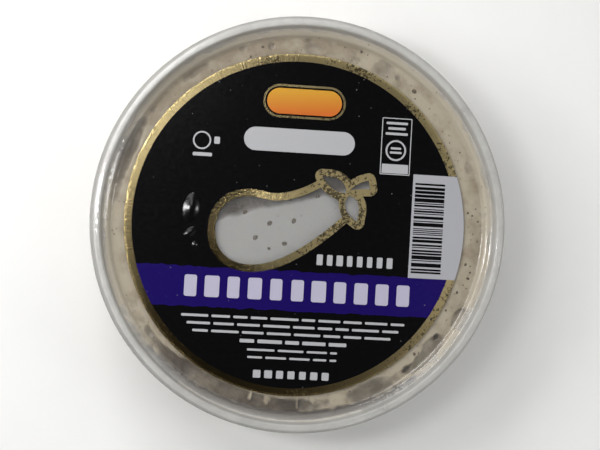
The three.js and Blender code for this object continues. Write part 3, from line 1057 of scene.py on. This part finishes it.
class DIPTUB_OT_code(bpy.types.Operator):
    """Bar panel: a pale panel at the right edge with a made-up row of bars"""

    bl_idname = "diptub.code"
    bl_label = "Bar panel"

    def execute(self, context):
        top, foot = (math.asin(up / LABEL_RADIUS) for up in (CODE_TOP, CODE_FOOT))
        right = [unit(foot + (top - foot) * i / 40) * LABEL_RADIUS for i in range(41)]
        outline = [Vector((CODE_LEFT, CODE_TOP)), Vector((CODE_LEFT, CODE_FOOT)), *right]
        panel = slab([outline], top=FILM_TOP + 2 * INK)
        lay_on_lid(panel, "code_panel", printed_film("pale_panel_ink", colours().panel_ink))
        code = bars(self.code_bars(), foot=FILM_TOP + 2 * INK)
        lay_on_lid(code, "code_bars", printed_film("black_bar_ink", colours().film, 0.15))
        return {"FINISHED"}

    def code_bars(self):
        """Bars one to four modules thick, drawn at random from top to foot."""
        draw = random.Random(21)
        x = CODE_LEFT + 0.7 + BAR_LENGTH / 2
        y = CODE_TOP - 2.4
        while y > CODE_FOOT + 1.7:
            thick = draw.choice((1, 2, 2, 3, 4)) * BAR_MODULE
            yield x, y - thick / 2, BAR_LENGTH, thick
            y -= thick + draw.choice((1, 1, 1, 2)) * BAR_MODULE


# Rows of blocks, each (left, right, middle height, height, blocks, share of the row that they fill)
LARGE_BLOCKS = (-31.6, 34.6, -18.4, 6.0, 11, 0.62)
MIDDLE_BLOCKS = (5.9, 28.7, -9.4, 3.0, 8, 0.6)
FOOT_BLOCKS = (-10.3, 12.3, -42.2, 2.2, 7, 0.66)

# Rows of small bars, each (left, right, middle height, height)
SMALL_ROWS = [
    (-30.7, 32.5, -26.6, 0.7),
    (-29.1, 30.9, -28.7, 0.7),
    (-27.4, 29.2, -30.8, 0.7),
    (-14.0, 16.2, -33.1, 1.0),
    (-11.8, 13.7, -35.5, 0.6),
    (-11.6, 13.6, -37.6, 0.6),
]
SHORTEST, LONGEST = 3.5, 8  # small bars
WORD_GAP = 0.9


def block_row(draw, left, right, y, height, count, fill):
    """A row of equal-pitched blocks, each a little wider or narrower than the next."""
    pitch = (right - left) / count
    for i in range(count):
        yield left + pitch * (i + 0.5), y, pitch * fill * draw.uniform(0.88, 1.12), height


def word_rows(draw):
    """Lines of plain bars, as long as words and spaced like them."""
    for left, right, y, height in SMALL_ROWS:
        while left < right - 1:
            width = min(draw.uniform(SHORTEST, LONGEST), right - left)
            yield left + width / 2, y, width, height
            left += width + WORD_GAP


class DIPTUB_OT_words(bpy.types.Operator):
    """Word bars: rows of plain bars and blocks where a label carries its wording"""

    bl_idname = "diptub.words"
    bl_label = "Word bars"

    def execute(self, context):
        draw = random.Random(8)
        pale = printed_film("pale_ink", colours().pale_ink)
        grey = printed_film("grey_ink", colours().grey_ink)
        for name, shapes, ink, rounding, foot in (
            ("large_blocks", block_row(draw, *LARGE_BLOCKS), pale, 0.6, FILM_TOP + INK),
            ("middle_blocks", block_row(draw, *MIDDLE_BLOCKS), grey, 0.3, FILM_TOP),
            ("small_bars", word_rows(draw), grey, 0.25, FILM_TOP),
            ("foot_blocks", block_row(draw, *FOOT_BLOCKS), grey, 0.3, FILM_TOP),
        ):
            lay_on_lid(bars(shapes, rounding, foot), name, ink)
        return {"FINISHED"}


# Bars under the small ring and in the ruled box, each (x, y, width, height)
SMALL_RING_BARS = [(-23.4, 22.4, 1.6, 2.0), (-27.3, 18.3, 5.4, 1.0)]
BOX_BARS = [
    (27.3, 30.3, 6.2, 0.7),
    (27.3, 28.8, 5.0, 0.7),
    (27.3, 27.3, 6.4, 0.7),
    (27.3, 23.2, 3.0, 0.6),
    (27.3, 22.0, 3.4, 0.6),
    (27.3, 17.4, 7.6, 2.6),
]


class DIPTUB_OT_marks(bpy.types.Operator):
    """Marks: an amber plaque over a pale bar, a small ring with bars, and a ruled box with a ring"""

    bl_idname = "diptub.marks"
    bl_label = "Marks"

    def execute(self, context):
        pale = printed_film("pale_mark_ink", colours().grey_ink)
        foil = gold_foil("gold_foil_plaque", Vector((0, 0.06, 0)))
        self.print_mark("plaque_edge", foil, pill(*PLAQUE_AT, 23.4, 9.4), pill(*PLAQUE_AT, 22.2, 8.2))
        self.print_mark("amber_plaque", amber_ink(), pill(*PLAQUE_AT, 21.2, 7.2))
        self.print_mark("pale_bar", pale, pill(-0.2, 23.6, 31.4, 6.6))
        self.print_mark("small_ring", pale, *(circle(radius, 64, SMALL_RING_AT) for radius in (2.55, 2.1)))
        lay_on_lid(bars(SMALL_RING_BARS, 0.3), "small_ring_bars", pale)
        self.print_mark("ruled_box", pale, pill(*BOX_AT, 8.6, 16.1, 0.3), pill(*BOX_AT, 8.1, 15.6, 0.2))
        self.print_mark("box_ring", pale, *(circle(radius, 64, BOX_RING_AT) for radius in (2.95, 2.45)))
        lay_on_lid(bars(BOX_BARS, 0.2), "box_bars", pale)
        return {"FINISHED"}

    def print_mark(self, name, ink, *outlines):
        """One layer of ink in the form of an outline, less the outlines inside it."""
        lay_on_lid(slab(outlines), name, ink)


# ---------- Stage ----------

FLOOR_SIZE = 3  # metres
FLOOR_MOTTLE = "#EDECEA"
SKY_COLOUR = "#EEF0F2"
CAMERA_DISTANCE = 0.46
CAMERA_TILT = math.radians(7)
CAMERA_AIM = Vector((-0.0004, 0, HEIGHT * MM))
LID_SPAN = 421 / 600  # the lid's share of the picture's width

# Lights, each (name, compass angle, height angle, distance, width, height, power in watts)
LIGHTS = [
    ("key", 133, 45, 0.22, 0.12, 0.12, 0.235),
    ("window", 118, 74, 0.5, 0.1, 0.1, 0.07),
    ("crown_glare", 168, 66, 0.5, 0.045, 0.11, 0.5),
    ("ledge_glare", -8, 63, 0.5, 0.05, 0.02, 0.055),
    ("left_strip", 171, 42, 0.5, 0.11, 0.12, 0.4),
    ("right_strip", -18, 38, 0.5, 0.2, 0.035, 0.3),
    ("low_strip", -68, 40, 0.5, 0.1, 0.035, 0.15),
    ("top_strip", 108, 40, 0.5, 0.14, 0.07, 0.2),
]


def area_light(name, compass, height, distance, width, tall, power):
    """A rectangular lamp on a sphere round the middle of the lid, facing it, with its width level."""
    across, up = math.radians(compass), math.radians(height)
    way = Vector((*unit(across) * math.cos(up), math.sin(up)))
    light = bpy.data.lights.new(name, "AREA")
    light.shape = "RECTANGLE"
    light.size = width
    light.size_y = tall
    light.energy = power
    lamp = bpy.data.objects.new(name, light)
    bpy.context.collection.objects.link(lamp)
    lamp.location = Vector((0, 0, HEIGHT * MM)) + way * distance
    lamp.rotation_euler = way.to_track_quat("Z", "Y").to_euler()


class DIPTUB_OT_stage(bpy.types.Operator):
    """Stage: pale floor, soft studio light and the camera"""

    bl_idname = "diptub.stage"
    bl_label = "Stage"

    def execute(self, context):
        self.add_floor()
        self.add_sky(context.scene)
        for light in LIGHTS:
            area_light(*light)
        context.scene.view_settings.view_transform = "Standard"
        self.add_camera(context)
        return {"FINISHED"}

    def add_floor(self):
        deselect()
        bpy.ops.mesh.primitive_plane_add(size=FLOOR_SIZE)
        floor = bpy.context.object
        floor.name = "floor"
        material, node, place = new_material("matt_floor_board")
        mottle = node("TexNoise", {"Vector": place, "Scale": 1 / (12 * MM), "Detail": 4})
        blend = {"Factor": mottle, "A": colours().floor, "B": linear(FLOOR_MOTTLE)}
        body = node("Mix", blend, data_type="RGBA")
        node("OutputMaterial", [node("BsdfPrincipled", {"Base Color": body, "Roughness": 0.7})])
        floor.data.materials.append(material)

    def add_sky(self, scene):
        """Soft light from the sides, and a dark ceiling that keeps flat gloss from greying over."""
        scene.world = bpy.data.worlds.new("studio")
        scene.world.use_nodes = True
        tree = scene.world.node_tree
        node = partial(add_node, tree)
        way = node("TexCoord", out="Generated")
        up = node("SeparateXYZ", [way], out="Z")
        low = node("MapRange", [up, 0.87, 0.925, 0.75, 0.02])
        lean = node("VectorMath", [way, (-0.35, 0.9, 0)], operation="DOT_PRODUCT")
        side = node("MapRange", [lean, -0.6, 0.4, 0.45, 1.05])
        strength = node("Math", [low, side], operation="MULTIPLY")
        background = tree.nodes["Background"]
        background.inputs["Color"].default_value = (*linear(SKY_COLOUR), 1)
        tree.links.new(strength, background.inputs["Strength"])

    def add_camera(self, context):
        lens = bpy.data.cameras.new("camera")
        camera = bpy.data.objects.new("camera", lens)
        context.collection.objects.link(camera)
        turn = Euler((0, -CAMERA_TILT, 0))
        camera.rotation_euler = turn
        camera.location = CAMERA_AIM + turn.to_matrix() @ Vector((0, 0, CAMERA_DISTANCE))
        view_width = 2 * LID_RADIUS * MM / LID_SPAN
        lens.lens = lens.sensor_width * CAMERA_DISTANCE / view_width
        context.scene.camera = camera


# ---------- Panel and registration ----------

STEPS = ("tub", "dip", "seeds", "lid", "film", "creases", "foil", "band", "code", "words", "marks", "stage")


class DIPTUB_PT_panel(bpy.types.Panel):
    bl_label = "Dip tub"
    bl_idname = "DIPTUB_PT_panel"
    bl_space_type = "VIEW_3D"
    bl_region_type = "UI"
    bl_category = "Dip tub"

    def draw(self, context):
        layout = self.layout
        for step in STEPS:
            layout.operator(f"diptub.{step}")
        for group in (context.scene.dip_tub_sizes, context.scene.dip_tub_colours):
            for key in group.__annotations__:
                layout.prop(group, key)


CLASSES = (
    DipTubSizes,
    DipTubColours,
    DIPTUB_OT_lid,
    DIPTUB_OT_tub,
    DIPTUB_OT_dip,
    DIPTUB_OT_seeds,
    DIPTUB_OT_film,
    DIPTUB_OT_creases,
    DIPTUB_OT_foil,
    DIPTUB_OT_band,
    DIPTUB_OT_code,
    DIPTUB_OT_words,
    DIPTUB_OT_marks,
    DIPTUB_OT_stage,
    DIPTUB_PT_panel,
)


def register():
    for one in CLASSES:
        bpy.utils.register_class(one)
    bpy.types.Scene.dip_tub_sizes = PointerProperty(type=DipTubSizes)
    bpy.types.Scene.dip_tub_colours = PointerProperty(type=DipTubColours)


def unregister():
    del bpy.types.Scene.dip_tub_colours
    del bpy.types.Scene.dip_tub_sizes
    for one in reversed(CLASSES):
        bpy.utils.unregister_class(one)


def main():
    register()
    for step in STEPS:
        getattr(bpy.ops.diptub, step)()


if __name__ == "__main__":
    main()
